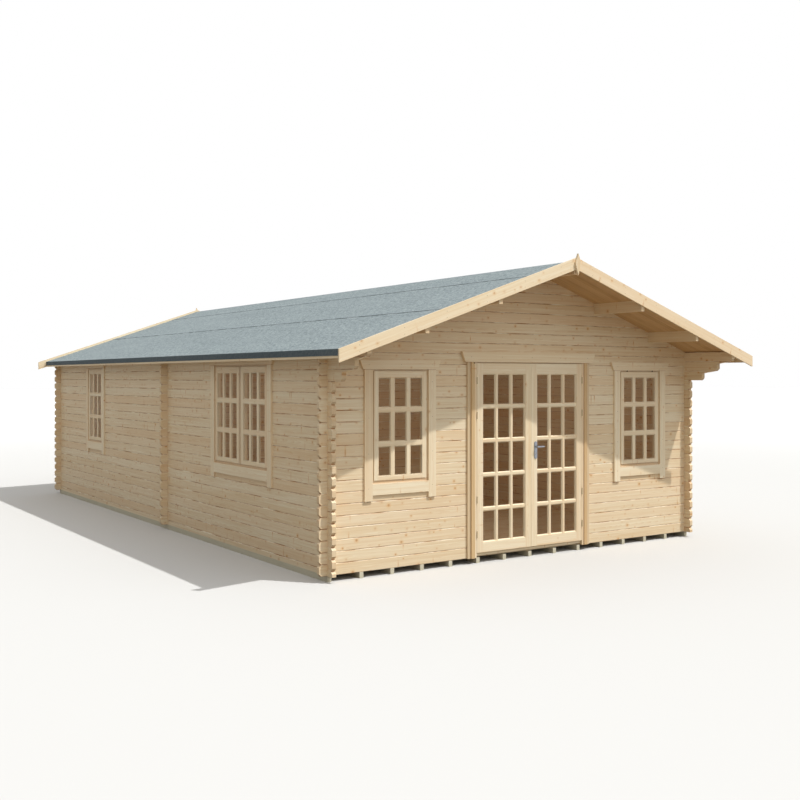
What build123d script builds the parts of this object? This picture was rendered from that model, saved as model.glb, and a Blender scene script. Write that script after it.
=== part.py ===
from build123d import *
import math
import os

# Log cabin, in millimetres. The front gable faces -Y and up is +Z.
# The origin lies on the ground, at the middle of the roof's outline in plan.

# Logs and walls
log_thickness = 44.0
log_course = 112.0
joint_groove = 6.0
end_bevel = 27.0
stub_length = 90.0
cabin_width = 5060.0
cabin_length = 8980.0
partition_setback = 4102.0
doorway_courses = 19
corbel_reaches = (274.0, 497.0)

# Bearers and floor
bearer_height = 60.0
bearer_width = 44.0
bearer_count = 15
floor_thickness = 18.0
floor_gap = 6.0

# Roof
roof_pitch = 19.1
wall_plate_height = 2239.0
roof_board_thickness = 19.0
eaves_reach = 156.0
eaves_board_thickness = 16.0
eaves_board_height = 82.0
front_reach = 710.0
rear_reach = 195.0
purlin_thickness = 44.0
purlin_depth = 112.0
purlin_offsets = (0.0, 992.0, 1872.0)

# Roof felt
felt_thickness = 4.0
felt_fold = 62.0
felt_lap = 75.0
felt_settle = 40.0
lower_lap_offset = 1570.0
ridge_strip_reach = 490.0

# Barge boards and finials
barge_thickness = 20.0
barge_depth = 121.0
barge_rise = 35.0
barge_reach = 300.0
finial_thickness = 20.0
finial_width = 70.0
finial_above = 40.0
finial_below = 185.0
finial_shoulder = 50.0
finial_waist = 25.0

# Double door
leaf_width = 743.0
leaf_height = 1981.0
leaf_thickness = 44.0
leaf_bottom = 112.0
leaf_proud = 24.0
leaf_columns = 3
leaf_rows = 5
stile_width = 80.0
top_rail_height = 110.0
bottom_rail_height = 104.0
meeting_gap = 8.0
hinge_gap = 5.0
swing_gap = 5.0
jamb_thickness = 37.0
jamb_face_width = 28.0
stop_width = 16.0
threshold_lift = 20.0
threshold_bevel = 8.0

# Glazing bars and glass
bar_width = 26.0
bar_depth = 34.0
glass_thickness = 4.0
glass_bite = 9.0
glass_fit = 0.3

# Door casing and lintel boards
casing_inner_width = 45.0
casing_outer_width = 42.0
casing_inner_proud = 32.0
casing_outer_proud = 18.0
lintel_height = 106.0
lintel_proud = 36.0
lintel_overlap = 38.0
lintel_splay = 43.0
lintel_clearance = 11.0

# Hinges and handle
hinge_heights = (191.0, 553.0, 1434.0, 1798.0)
hinge_radius = 5.0
knuckle_sides = 12
knuckle_length = 36.0
knuckle_gap = 0.3
hinge_plate_width = 26.0
hinge_plate_thickness = 2.0
handle_edge = 56.0
handle_plate_below = 132.0
handle_plate_width = 40.0
handle_plate_height = 188.0
handle_plate_thickness = 6.0
handle_plate_corner = 12.0
lever_height = 1192.0
lever_neck_radius = 9.0
lever_thickness = 12.0
lever_tip = 7.0
lever_corner = 5.0
lever_reach = 46.0
lever_length = 92.0
lever_fit = 0.3
keyhole_radius = 6.0
keyhole_drop = 72.0

# Windows
sash_width = 622.0
sash_height = 1070.0
sash_head_drop = 182.0
sash_pitch = 694.0
sash_meeting_gap = 16.0
sash_stile = 49.0
sash_top_rail = 64.0
sash_bottom_rail = 40.0
sash_depth = 44.0
sash_proud = 10.0
sash_gap = 4.0
sash_lap = 14.0
sash_bar_width = 44.0
sash_bar_depth = 24.0
sash_bar_setback = 1.0
sash_glass_setback = 8.0
window_columns = 3
window_rows = 3
window_frame_face = 44.0
window_frame_depth = 60.0
double_window_place = 1915.0
rear_window_place = 7045.0

# Window casings
trim_width = 92.0
trim_proud = 20.0
trim_gap = 23.0
trim_leg = 55.0
sill_board_height = 110.0
sill_board_gap = 32.0
window_lintel_gap = 18.0
window_lintel_height = 92.0
window_lintel_proud = 26.0
window_lintel_overlap = 19.0
window_lintel_splay = 37.0

# Doorway through the partition
inner_doorway_width = 850.0
inner_doorway_from_wall = 401.0

# Derived places
slope = math.tan(math.radians(roof_pitch))
slope_stretch = 1.0 / math.cos(math.radians(roof_pitch))
half_width = cabin_width / 2
half_course = log_course / 2
gable_cover = barge_thickness + finial_thickness
overall_length = front_reach + cabin_length + rear_reach + 2 * gable_cover
front_face = -overall_length / 2 + front_reach + gable_cover
rear_face = front_face + cabin_length
partition_face = front_face + partition_setback
roof_front = front_face - front_reach
roof_back = rear_face + rear_reach
roof_length = roof_back - roof_front
doorway_head = bearer_height + doorway_courses * log_course
head_reaches = (*corbel_reaches, front_reach)
rear_head_reaches = (stub_length, (stub_length + rear_reach) / 2, rear_reach)
head_base = bearer_height + (doorway_courses - len(head_reaches)) * log_course + half_course
peak = wall_plate_height + half_width * slope
board_plumb = roof_board_thickness * slope_stretch
felt_plumb = felt_thickness * slope_stretch
boards_edge = half_width + eaves_reach
fold_edge = boards_edge + eaves_board_thickness
leaf_inner = meeting_gap / 2
leaf_outer = leaf_inner + leaf_width
frame_half = leaf_outer + hinge_gap
doorway_half = frame_half + jamb_thickness
leaf_face = front_face - leaf_proud
leaf_back = leaf_face + leaf_thickness
leaf_top = leaf_bottom + leaf_height
frame_back = front_face + log_thickness + floor_gap
stop_face = leaf_back + swing_gap
threshold_top = leaf_bottom - swing_gap
threshold_bottom = bearer_height + threshold_lift
head_underside = leaf_top + swing_gap
casing_top = leaf_top + lintel_clearance
casing_start = frame_half + jamb_face_width
casing_step = casing_start + casing_inner_width
casing_half = casing_step + casing_outer_width
front_window_offset = (casing_half + half_width) / 2
front_sash_bottom = doorway_head - sash_head_drop - sash_height
side_sash_bottom = front_sash_bottom + half_course
window_hole_margin = sash_gap + window_frame_face
glazed_sash_width = sash_width - 2 * sash_stile
glazed_sash_height = sash_height - sash_top_rail - sash_bottom_rail
sash_glass_middle = sash_proud - sash_glass_setback
inner_doorway_offset = half_width - log_thickness - inner_doorway_from_wall - inner_doorway_width / 2

os.makedirs("parts", exist_ok=True)


def save(builder, name):
    """Names a finished piece and writes its file."""
    builder.part.label = name
    export_step(builder.part, f"parts/{name}.step")


def roof_under(x):
    """Height of the underside of the roof boards at a distance from the middle."""
    return wall_plate_height + (half_width - abs(x)) * slope


def roof_point(x, lift=0.0):
    """A point on a line parallel to the roof, raised by a plumb height."""
    return (x, roof_under(x) + lift)


def purlin_base(offset):
    """Height of a purlin's underside."""
    return roof_under(offset) - purlin_depth


def purlin_places():
    """Distances of all purlins from the middle, both slopes."""
    return sorted({side * offset for offset in purlin_offsets for side in (-1, 1)})


def joint_levels(shift, top):
    """Heights of the joints between log courses, from the bearers up to a height."""
    count = int((top - bearer_height - shift) / log_course) + 1
    return [bearer_height + shift + k * log_course for k in range(count + 1)]


def log_ends(place, inward, levels):
    """Outline of a stack of log ends from the bottom up. Inward is 0 for plain square ends."""
    points = [(place, levels[0] - log_course)]
    if inward:
        for z in levels:
            points += [(place, z - end_bevel), (place + inward * end_bevel, z), (place, z + end_bevel)]
    points.append((place, levels[-1] + log_course))
    return points


def log_blank(low, high, levels, low_inward=1, high_inward=-1):
    """Outline of a stack of logs seen from the side, with bevelled log ends."""
    return log_ends(low, low_inward, levels) + log_ends(high, high_inward, levels)[::-1]


def log_section(outer, outward, levels):
    """Section through a stack of logs, with a vee groove along each joint of the outer face."""
    groove = outer - outward * joint_groove
    inner = outer - outward * log_thickness
    bottom = levels[0] - log_course
    top = levels[-1] + log_course
    points = [(inner, bottom), (outer, bottom)]
    for z in levels:
        points += [(outer, z - joint_groove), (groove, z), (outer, z + joint_groove)]
    return points + [(outer, top), (inner, top)]


def crossing_pockets(centres, levels):
    """Cuts the pockets that take the notched logs of the crossing walls."""
    with Locations(*[(across, z) for across in centres for z in levels]):
        Rectangle(log_thickness, half_course, mode=Mode.SUBTRACT)


def sashes_width(count):
    """Width over a number of sashes side by side."""
    return sash_width + (count - 1) * sash_pitch


def window_hole(count):
    """Cuts the hole for a window's frame into the sketch of a wall."""
    width = sashes_width(count) + 2 * window_hole_margin
    Rectangle(width, sash_height + 2 * window_hole_margin, mode=Mode.SUBTRACT)


def wall_across(outer, outward, low, high, bottom, top=None, windows=()):
    """A log wall across the cabin. It ends at a level top, or else at the roof.

    An outside wall's grooved face looks along outward, and an inner wall (outward 0) is smooth.
    """
    levels = joint_levels(0.0, peak)
    low_bevel = int(low < -half_width)
    high_bevel = -int(high > half_width)
    pockets = half_width - log_thickness / 2
    crown = [(low, top), (high, top)]
    if top is None:
        crown = [roof_point(low), roof_point(0.0), roof_point(high)]
    with BuildPart() as wall:
        with BuildSketch(Plane.XZ.offset(-outer)):
            with BuildLine():
                Polyline(*log_blank(low, high, levels, low_bevel, high_bevel), close=True)
            make_face()
            with BuildLine():
                Polyline((low, bottom), *crown, (high, bottom), close=True)
            make_face(mode=Mode.INTERSECT)
            crossing_pockets([x for x in (-pockets, pockets) if low < x < high], levels)
            if top is None:
                for x in purlin_places():
                    with Locations((x, purlin_base(x) + purlin_depth)):
                        Rectangle(purlin_thickness, 2 * purlin_depth, mode=Mode.SUBTRACT)
            for x in windows:
                with Locations((x, front_sash_bottom + sash_height / 2)):
                    window_hole(1)
        extrude(amount=(outward or -1) * log_thickness)
        if outward:
            with BuildSketch(Plane.YZ.offset(low)):
                with BuildLine():
                    Polyline(*log_section(outer, outward, levels), close=True)
                make_face()
            extrude(amount=high - low, mode=Mode.INTERSECT)
    return wall


def stepped_head():
    """Outline of the top logs of a side wall, each reaching further than the one below."""
    front = []
    back = []
    for k, reach in enumerate(head_reaches):
        low = head_base + k * log_course
        high = low + log_course
        front_end = front_face - reach
        back_end = rear_face + rear_head_reaches[k]
        front += [(front_end + end_bevel, low), (front_end, low + end_bevel), (front_end, high - end_bevel)]
        back += [(back_end - end_bevel, low), (back_end, low + end_bevel), (back_end, high - end_bevel)]
    front.append((front_face - head_reaches[-1], peak))
    back.append((rear_face + rear_head_reaches[-1], peak))
    return front + back[::-1]


def wall_along(side, outline, bottom, top, windows=()):
    """A side wall, or the stepped head on it. Side is -1 for the left wall and 1 for the right."""
    levels = joint_levels(half_course, wall_plate_height - log_course)
    outer = side * half_width
    inner = outer - side * log_thickness
    centres = [y + log_thickness / 2 for y in (front_face, partition_face, rear_face - log_thickness)]
    with BuildPart() as wall:
        with BuildSketch(Plane.YZ.offset(outer)):
            with BuildLine():
                Polyline(*outline, close=True)
            make_face()
            with Locations(((roof_front + roof_back) / 2, (bottom + top) / 2)):
                Rectangle(roof_length, top - bottom, mode=Mode.INTERSECT)
            crossing_pockets(centres, joint_levels(half_course, peak))
            for y, count in windows:
                with Locations((y, side_sash_bottom + sash_height / 2)):
                    window_hole(count)
        extrude(amount=-side * log_thickness)
        with BuildSketch(Plane.XZ.offset(-roof_front)):
            with BuildLine():
                Polyline(*log_section(outer, side, levels), close=True)
            make_face()
            with BuildLine():
                Polyline((outer, bottom), roof_point(outer), roof_point(inner), (inner, bottom), close=True)
            make_face(mode=Mode.INTERSECT)
        extrude(amount=-roof_length, mode=Mode.INTERSECT)
    return wall


# Bearers on the ground, running from front to back
with BuildPart() as bearers:
    pitch = (cabin_width - bearer_width) / (bearer_count - 1)
    with Locations((0, (front_face + rear_face) / 2, bearer_height / 2)):
        with GridLocations(pitch, 1, bearer_count, 1):
            Box(bearer_width, cabin_length, bearer_height)
save(bearers, "bearers")

# Floor boards of both rooms, joined through the inner doorway
with BuildPart() as floor:
    floor_width = cabin_width - 2 * (log_thickness + floor_gap)
    front_room = (frame_back, partition_face - floor_gap)
    rear_room = (partition_face + log_thickness + floor_gap, rear_face - log_thickness - floor_gap)
    with BuildSketch(Plane.XY.offset(bearer_height)):
        for start, end in (front_room, rear_room):
            with Locations((0, (start + end) / 2)):
                Rectangle(floor_width, end - start)
        with Locations((-inner_doorway_offset, (front_room[1] + rear_room[0]) / 2)):
            Rectangle(inner_doorway_width - 2 * floor_gap, rear_room[0] - front_room[1])
    extrude(amount=floor_thickness)
save(floor, "floor")

# Front wall, split beside and over the doorway
wall_end = half_width + stub_length
front_wall_left = wall_across(
    front_face, -1, -wall_end, -doorway_half, bearer_height, doorway_head, [-front_window_offset])
front_wall_right = wall_across(
    front_face, -1, doorway_half, wall_end, bearer_height, doorway_head, [front_window_offset])
front_gable = wall_across(front_face, -1, -wall_end, wall_end, doorway_head)
save(front_wall_left, "front_wall_left")
save(front_wall_right, "front_wall_right")
save(front_gable, "front_gable")

# Back wall, plain from the bearers to the roof
back_wall = wall_across(rear_face, 1, -wall_end, wall_end, bearer_height)
save(back_wall, "back_wall")

# Partition between the rooms, split beside and over its open doorway
inner_low = -inner_doorway_offset - inner_doorway_width / 2
inner_high = -inner_doorway_offset + inner_doorway_width / 2
partition_left = wall_across(partition_face, 0, -wall_end, inner_low, bearer_height, doorway_head)
partition_right = wall_across(partition_face, 0, inner_high, wall_end, bearer_height, doorway_head)
partition_gable = wall_across(partition_face, 0, -wall_end, wall_end, doorway_head)
save(partition_left, "partition_left")
save(partition_right, "partition_right")
save(partition_gable, "partition_gable")

# Side walls, each with a head of three logs that step forward under the roof
side_windows = (
    (front_face + double_window_place, 2),
    (front_face + rear_window_place, 1),
)
side_outline = log_blank(
    front_face - stub_length, rear_face + stub_length, joint_levels(half_course, head_base))
left_wall = wall_along(-1, side_outline, bearer_height, head_base, side_windows)
left_wall_head = wall_along(-1, stepped_head(), head_base, peak, side_windows)
right_wall = wall_along(1, side_outline, bearer_height, head_base)
right_wall_head = wall_along(1, stepped_head(), head_base, peak)
save(left_wall, "left_wall")
save(left_wall_head, "left_wall_head")
save(right_wall, "right_wall")
save(right_wall_head, "right_wall_head")

# Purlins, bevelled on top to the roof's slope
with BuildPart() as purlins:
    with BuildSketch(Plane.XZ.offset(-roof_front)):
        for x in purlin_places():
            low = x - purlin_thickness / 2
            high = x + purlin_thickness / 2
            crest = [roof_point(high), roof_point(low)]
            if x == 0.0:
                crest.insert(1, roof_point(0.0))
            with BuildLine():
                Polyline((low, purlin_base(x)), (high, purlin_base(x)), *crest, close=True)
            make_face()
    extrude(amount=-roof_length)
save(purlins, "purlins")

# Roof boards of each slope, meeting at the ridge
for side, name in ((-1, "roof_boards_left"), (1, "roof_boards_right")):
    with BuildPart() as roof_boards:
        with BuildSketch(Plane.XZ.offset(-roof_front)):
            with BuildLine():
                Polyline(
                    roof_point(0.0), roof_point(0.0, board_plumb),
                    roof_point(side * boards_edge, board_plumb), roof_point(side * boards_edge), close=True,
                )
            make_face()
        extrude(amount=-roof_length)
    save(roof_boards, name)

# Eaves boards along the lower edges of the roof boards
with BuildPart() as eaves_boards:
    with BuildSketch(Plane.XZ.offset(-roof_front)):
        for side in (-1, 1):
            edge_top = roof_under(fold_edge) + board_plumb
            with BuildLine():
                Polyline(
                    roof_point(side * boards_edge, board_plumb), roof_point(side * fold_edge, board_plumb),
                    (side * fold_edge, edge_top - eaves_board_height),
                    (side * boards_edge, edge_top - eaves_board_height), close=True,
                )
            make_face()
    extrude(amount=-roof_length)
save(eaves_boards, "eaves_boards")

# Roof felt of each slope: two lapped strips, folded down over the eaves board
for side, name in ((-1, "roof_felt_left"), (1, "roof_felt_right")):
    with BuildPart() as roof_felt:
        with BuildSketch(Plane.XZ.offset(-roof_front)):
            with BuildLine():
                felt_edge = fold_edge + felt_thickness
                fold_bottom = roof_under(felt_edge) + board_plumb + felt_plumb - felt_fold
                lap_end = lower_lap_offset - felt_lap
                Polyline(
                    roof_point(0.0, board_plumb),
                    roof_point(0.0, board_plumb + felt_plumb),
                    roof_point(side * (lap_end - felt_settle), board_plumb + felt_plumb),
                    roof_point(side * lap_end, board_plumb + 2 * felt_plumb),
                    roof_point(side * lower_lap_offset, board_plumb + 2 * felt_plumb),
                    roof_point(side * lower_lap_offset, board_plumb + felt_plumb),
                    roof_point(side * felt_edge, board_plumb + felt_plumb),
                    (side * felt_edge, fold_bottom),
                    (side * fold_edge, fold_bottom),
                    roof_point(side * fold_edge, board_plumb),
                    close=True,
                )
            make_face()
        extrude(amount=-roof_length)
    save(roof_felt, name)

# Strip of felt over the ridge
with BuildPart() as ridge_felt:
    with BuildSketch(Plane.XZ.offset(-roof_front)):
        with BuildLine():
            Polyline(
                roof_point(-ridge_strip_reach, board_plumb + felt_plumb),
                roof_point(0.0, board_plumb + felt_plumb),
                roof_point(ridge_strip_reach, board_plumb + felt_plumb),
                roof_point(ridge_strip_reach, board_plumb + 2 * felt_plumb),
                roof_point(0.0, board_plumb + 2 * felt_plumb),
                roof_point(-ridge_strip_reach, board_plumb + 2 * felt_plumb),
                close=True,
            )
        make_face()
    extrude(amount=-roof_length)
save(ridge_felt, "ridge_felt")

# Barge boards that close both gable ends of the roof
barge_top = board_plumb + felt_plumb + barge_rise
barge_end = half_width + barge_reach
for place, end in ((roof_front - barge_thickness, "front"), (roof_back, "rear")):
    for side, hand in ((-1, "left"), (1, "right")):
        with BuildPart() as barge_board:
            with BuildSketch(Plane.XZ.offset(-place)):
                with BuildLine():
                    Polyline(
                        roof_point(0.0, barge_top), roof_point(side * barge_end, barge_top),
                        roof_point(side * barge_end, barge_top - barge_depth),
                        roof_point(0.0, barge_top - barge_depth), close=True,
                    )
                make_face()
            extrude(amount=-barge_thickness)
        save(barge_board, f"{end}_barge_{hand}")

# Finials over the joint of the barge boards
with BuildPart() as finials:
    apex = peak + barge_top
    for place in (roof_front - gable_cover, roof_back + barge_thickness):
        with BuildSketch(Plane.XZ.offset(-place)):
            with BuildLine():
                half_board = finial_width / 2
                Polyline(
                    (0, apex + finial_above), (half_board, apex - finial_shoulder),
                    (half_board, apex - finial_shoulder - finial_waist), (0, apex - finial_below),
                    (-half_board, apex - finial_shoulder - finial_waist),
                    (-half_board, apex - finial_shoulder), close=True,
                )
            make_face()
        extrude(amount=-finial_thickness)
save(finials, "finials")

# Door frame: jambs with stops, head and threshold
for side, name in ((-1, "door_jamb_left"), (1, "door_jamb_right")):
    with BuildPart() as door_jamb:
        with BuildSketch(Plane.XY.offset(bearer_height)):
            with Locations((side * (frame_half + jamb_thickness / 2), (front_face + frame_back) / 2)):
                Rectangle(jamb_thickness, frame_back - front_face)
        extrude(amount=doorway_head - bearer_height)
        with BuildSketch(Plane.XY.offset(bearer_height)):
            with Locations((side * (frame_half + jamb_face_width / 2), (leaf_face + front_face) / 2)):
                Rectangle(jamb_face_width, leaf_proud)
        extrude(amount=casing_top - bearer_height)
        with BuildSketch(Plane.XY.offset(threshold_top)):
            with Locations((side * (frame_half - stop_width / 2), (stop_face + frame_back) / 2)):
                Rectangle(stop_width, frame_back - stop_face)
        extrude(amount=head_underside - threshold_top)
    save(door_jamb, name)

with BuildPart() as door_head:
    with BuildSketch(Plane.YZ.offset(-frame_half)):
        with BuildLine():
            Polyline(
                (leaf_face, head_underside), (leaf_face, casing_top), (front_face, casing_top),
                (front_face, doorway_head), (frame_back, doorway_head), (frame_back, head_underside),
                close=True,
            )
        make_face()
    extrude(amount=2 * frame_half)
    with BuildSketch(Plane.YZ.offset(-frame_half + stop_width)):
        with Locations(((stop_face + frame_back) / 2, head_underside - stop_width / 2)):
            Rectangle(frame_back - stop_face, stop_width)
    extrude(amount=2 * (frame_half - stop_width))
save(door_head, "door_head")

with BuildPart() as door_threshold:
    with BuildSketch(Plane.YZ.offset(-frame_half)):
        with BuildLine():
            Polyline(
                (front_face, threshold_bottom), (front_face, threshold_top - threshold_bevel),
                (front_face + threshold_bevel, threshold_top), (frame_back, threshold_top),
                (frame_back, threshold_bottom), close=True,
            )
        make_face()
    extrude(amount=2 * frame_half)
save(door_threshold, "door_threshold")

# Casing boards beside the doorway, in two steps
for side, name in ((-1, "door_casing_left"), (1, "door_casing_right")):
    with BuildPart() as door_casing:
        with BuildSketch(Plane.XY.offset(bearer_height)):
            with BuildLine():
                Polyline(
                    (side * casing_start, front_face),
                    (side * casing_start, front_face - casing_inner_proud),
                    (side * casing_step, front_face - casing_inner_proud),
                    (side * casing_step, front_face - casing_outer_proud),
                    (side * casing_half, front_face - casing_outer_proud),
                    (side * casing_half, front_face),
                    close=True,
                )
            make_face()
        extrude(amount=casing_top - bearer_height)
    save(door_casing, name)

# Lintel board over the door, with splayed ends
with BuildPart() as door_lintel:
    with BuildSketch(Plane.XZ.offset(-front_face)):
        with BuildLine():
            lintel_low = casing_half + lintel_overlap
            lintel_high = lintel_low + lintel_splay
            Polyline(
                (-lintel_low, casing_top), (lintel_low, casing_top),
                (lintel_high, casing_top + lintel_height), (-lintel_high, casing_top + lintel_height),
                close=True,
            )
        make_face()
    extrude(amount=lintel_proud)
save(door_lintel, "door_lintel")


def pane_grid(columns, rows, bar, width, height, mode):
    """Sketches the panes between the bars of a glazed frame."""
    pane_width = (width - (columns - 1) * bar) / columns
    pane_height = (height - (rows - 1) * bar) / rows
    with GridLocations(pane_width + bar, pane_height + bar, columns, rows):
        Rectangle(pane_width, pane_height, mode=mode)


# Door leaves with their glazing bars and glass
glazed_width = leaf_width - 2 * stile_width
glazed_height = leaf_height - top_rail_height - bottom_rail_height
glazed_middle = leaf_bottom + bottom_rail_height + glazed_height / 2
bar_setback = (leaf_thickness - bar_depth) / 2
for side, hand in ((-1, "left"), (1, "right")):
    leaf_middle = side * (leaf_inner + leaf_width / 2)
    with BuildPart() as door_leaf:
        with BuildSketch(Plane.XZ.offset(-leaf_face)):
            with Locations((leaf_middle, leaf_bottom + leaf_height / 2)):
                Rectangle(leaf_width, leaf_height)
            with Locations((leaf_middle, glazed_middle)):
                Rectangle(glazed_width, glazed_height, mode=Mode.SUBTRACT)
        extrude(amount=-leaf_thickness)
        with BuildSketch(Plane.XZ.offset(-leaf_face - bar_setback)):
            with Locations((leaf_middle, glazed_middle)):
                Rectangle(glazed_width, glazed_height)
                pane_grid(leaf_columns, leaf_rows, bar_width, glazed_width, glazed_height, Mode.SUBTRACT)
        extrude(amount=-bar_depth)
        with Locations((leaf_middle, leaf_face + leaf_thickness / 2, glazed_middle)):
            Box(
                glazed_width + 2 * (glass_bite + glass_fit), glass_thickness + 2 * glass_fit,
                glazed_height + 2 * (glass_bite + glass_fit), mode=Mode.SUBTRACT,
            )
    save(door_leaf, f"{hand}_door_leaf")
    with BuildPart() as door_glass:
        with Locations((leaf_middle, leaf_face + leaf_thickness / 2, glazed_middle)):
            Box(glazed_width + 2 * glass_bite, glass_thickness, glazed_height + 2 * glass_bite)
    save(door_glass, f"{hand}_door_glass")

# Hinges: the upper knuckles turn with the leaves, the lower ones stay on the jambs
hinge_line = leaf_outer + hinge_gap / 2
hinge_depth = leaf_face - hinge_radius


def hinge_section(side, outward):
    """Section of a knuckle and its plate, on the leaf's edge (outward -1) or on the jamb (outward 1)."""
    plate_middle = hinge_line + outward * (hinge_gap - hinge_plate_thickness) / 2
    with Locations((side * hinge_line, hinge_depth)):
        RegularPolygon(hinge_radius, knuckle_sides)
    with Locations((side * plate_middle, (hinge_depth + leaf_face + hinge_plate_width) / 2)):
        Rectangle(hinge_plate_thickness, leaf_face + hinge_plate_width - hinge_depth)


for side, hand in ((-1, "left"), (1, "right")):
    with BuildPart() as door_hinges:
        for height in hinge_heights:
            with BuildSketch(Plane.XY.offset(leaf_bottom + height + knuckle_gap / 2)):
                hinge_section(side, -1)
            extrude(amount=knuckle_length)
    save(door_hinges, f"{hand}_door_hinges")

with BuildPart() as frame_hinges:
    for height in hinge_heights:
        with BuildSketch(Plane.XY.offset(leaf_bottom + height - knuckle_gap / 2)):
            hinge_section(-1, 1)
            hinge_section(1, 1)
        extrude(amount=-knuckle_length)
save(frame_hinges, "frame_hinges")

# Backplate and lever on the right leaf
handle_line = leaf_inner + handle_edge
with BuildPart() as handle_plate:
    with BuildSketch(Plane.XZ.offset(-leaf_face)) as handle_plate_outline:
        with Locations((handle_line, lever_height - handle_plate_below + handle_plate_height / 2)):
            Rectangle(handle_plate_width, handle_plate_height)
        chamfer(handle_plate_outline.vertices(), handle_plate_corner)
        with Locations((handle_line, lever_height)):
            Circle(lever_neck_radius + lever_fit, mode=Mode.SUBTRACT)
        with Locations((handle_line, lever_height - keyhole_drop)):
            Circle(keyhole_radius, mode=Mode.SUBTRACT)
    extrude(amount=handle_plate_thickness)
save(handle_plate, "handle_plate")

with BuildPart() as door_lever:
    with BuildSketch(Plane.XZ.offset(-leaf_face + lever_fit)):
        with Locations((handle_line, lever_height)):
            Circle(lever_neck_radius)
    extrude(amount=lever_reach)
    with BuildSketch(Plane.XZ.offset(-leaf_face + lever_fit + lever_reach - lever_thickness)):
        with BuildLine():
            tip = handle_line + lever_length
            Polyline(
                (handle_line, lever_height + lever_neck_radius),
                (handle_line, lever_height - lever_neck_radius),
                (tip, lever_height - lever_tip), (tip, lever_height + lever_tip), close=True,
            )
        make_face()
    extrude(amount=lever_thickness)
    fillet(door_lever.edges().filter_by(Axis.Y).sort_by(Axis.X)[-2:], lever_corner)
save(door_lever, "door_lever")


def glazed_middles(places):
    """Middles of all glazed fields, for windows given as (middle, number of sashes)."""
    return [middle + (k - (count - 1) / 2) * sash_pitch for middle, count in places for k in range(count)]


def window_frames(face, places, sill):
    """Frames, sashes and glazing bars of the windows along one wall face."""
    sash_middle = sill + sash_height / 2
    glazed_height_middle = sill + sash_bottom_rail + glazed_sash_height / 2
    glazed_spots = [(x, glazed_height_middle) for x in glazed_middles(places)]
    with BuildPart() as frames:
        with BuildSketch(face):
            for middle, count in places:
                width = sashes_width(count)
                with Locations((middle, sash_middle)):
                    Rectangle(width + 2 * window_hole_margin, sash_height + 2 * window_hole_margin)
                    Rectangle(width + 2 * sash_gap, sash_height + 2 * sash_gap, mode=Mode.SUBTRACT)
        extrude(amount=-window_frame_depth)
        with BuildSketch(face.offset(sash_proud - sash_depth)):
            for middle, count in places:
                width = sashes_width(count)
                with Locations((middle, sash_middle)):
                    Rectangle(width + 2 * sash_gap, sash_height + 2 * sash_gap)
            with Locations(*[(x, sash_middle) for x in glazed_middles(places)]):
                Rectangle(sash_width - 2 * sash_lap, sash_height - 2 * sash_lap, mode=Mode.SUBTRACT)
        extrude(amount=sash_depth - sash_proud - window_frame_depth)
        with BuildSketch(face.offset(sash_proud)):
            for middle, count in places:
                with Locations((middle, sash_middle)):
                    Rectangle(sashes_width(count), sash_height)
                    if count > 1:
                        Rectangle(sash_meeting_gap, sash_height, mode=Mode.SUBTRACT)
            with Locations(*glazed_spots):
                Rectangle(glazed_sash_width, glazed_sash_height, mode=Mode.SUBTRACT)
        extrude(amount=-sash_depth)
        with BuildSketch(face.offset(sash_proud - sash_bar_setback)):
            with Locations(*glazed_spots):
                Rectangle(glazed_sash_width, glazed_sash_height)
            for spot in glazed_spots:
                with Locations(spot):
                    pane_grid(
                        window_columns, window_rows, sash_bar_width, glazed_sash_width, glazed_sash_height,
                        Mode.SUBTRACT,
                    )
        extrude(amount=-sash_bar_depth)
        with BuildSketch(face.offset(sash_glass_middle + glass_thickness / 2 + glass_fit)):
            rebate = 2 * (glass_bite + glass_fit)
            with Locations(*glazed_spots):
                Rectangle(glazed_sash_width + rebate, glazed_sash_height + rebate)
        extrude(amount=-glass_thickness - 2 * glass_fit, mode=Mode.SUBTRACT)
    return frames


def window_glass(face, places, sill):
    """The sheets of glass in the windows along one wall face."""
    glazed_height_middle = sill + sash_bottom_rail + glazed_sash_height / 2
    with BuildPart() as glass:
        with BuildSketch(face.offset(sash_glass_middle + glass_thickness / 2)):
            with Locations(*[(x, glazed_height_middle) for x in glazed_middles(places)]):
                Rectangle(glazed_sash_width + 2 * glass_bite, glazed_sash_height + 2 * glass_bite)
        extrude(amount=-glass_thickness)
    return glass


def window_casings(face, places, sill):
    """Casing boards round the windows along one wall face: legs, sill board and lintel."""
    top = sill + sash_height + window_lintel_gap
    sill_top = sill - sill_board_gap
    leg_bottom = sill_top - sill_board_height - trim_leg
    with BuildPart() as casings:
        with BuildSketch(face):
            for middle, count in places:
                half = sashes_width(count) / 2 + trim_gap
                for hand in (-1, 1):
                    with Locations((middle + hand * (half + trim_width / 2), (leg_bottom + top) / 2)):
                        Rectangle(trim_width, top - leg_bottom)
                with Locations((middle, sill_top - sill_board_height / 2)):
                    Rectangle(2 * half, sill_board_height)
        extrude(amount=trim_proud)
        with BuildSketch(face):
            for middle, count in places:
                low = sashes_width(count) / 2 + trim_gap + trim_width + window_lintel_overlap
                high = low + window_lintel_splay
                with BuildLine():
                    Polyline(
                        (middle - low, top), (middle + low, top), (middle + high, top + window_lintel_height),
                        (middle - high, top + window_lintel_height), close=True,
                    )
                make_face()
        extrude(amount=window_lintel_proud)
    return casings


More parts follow.
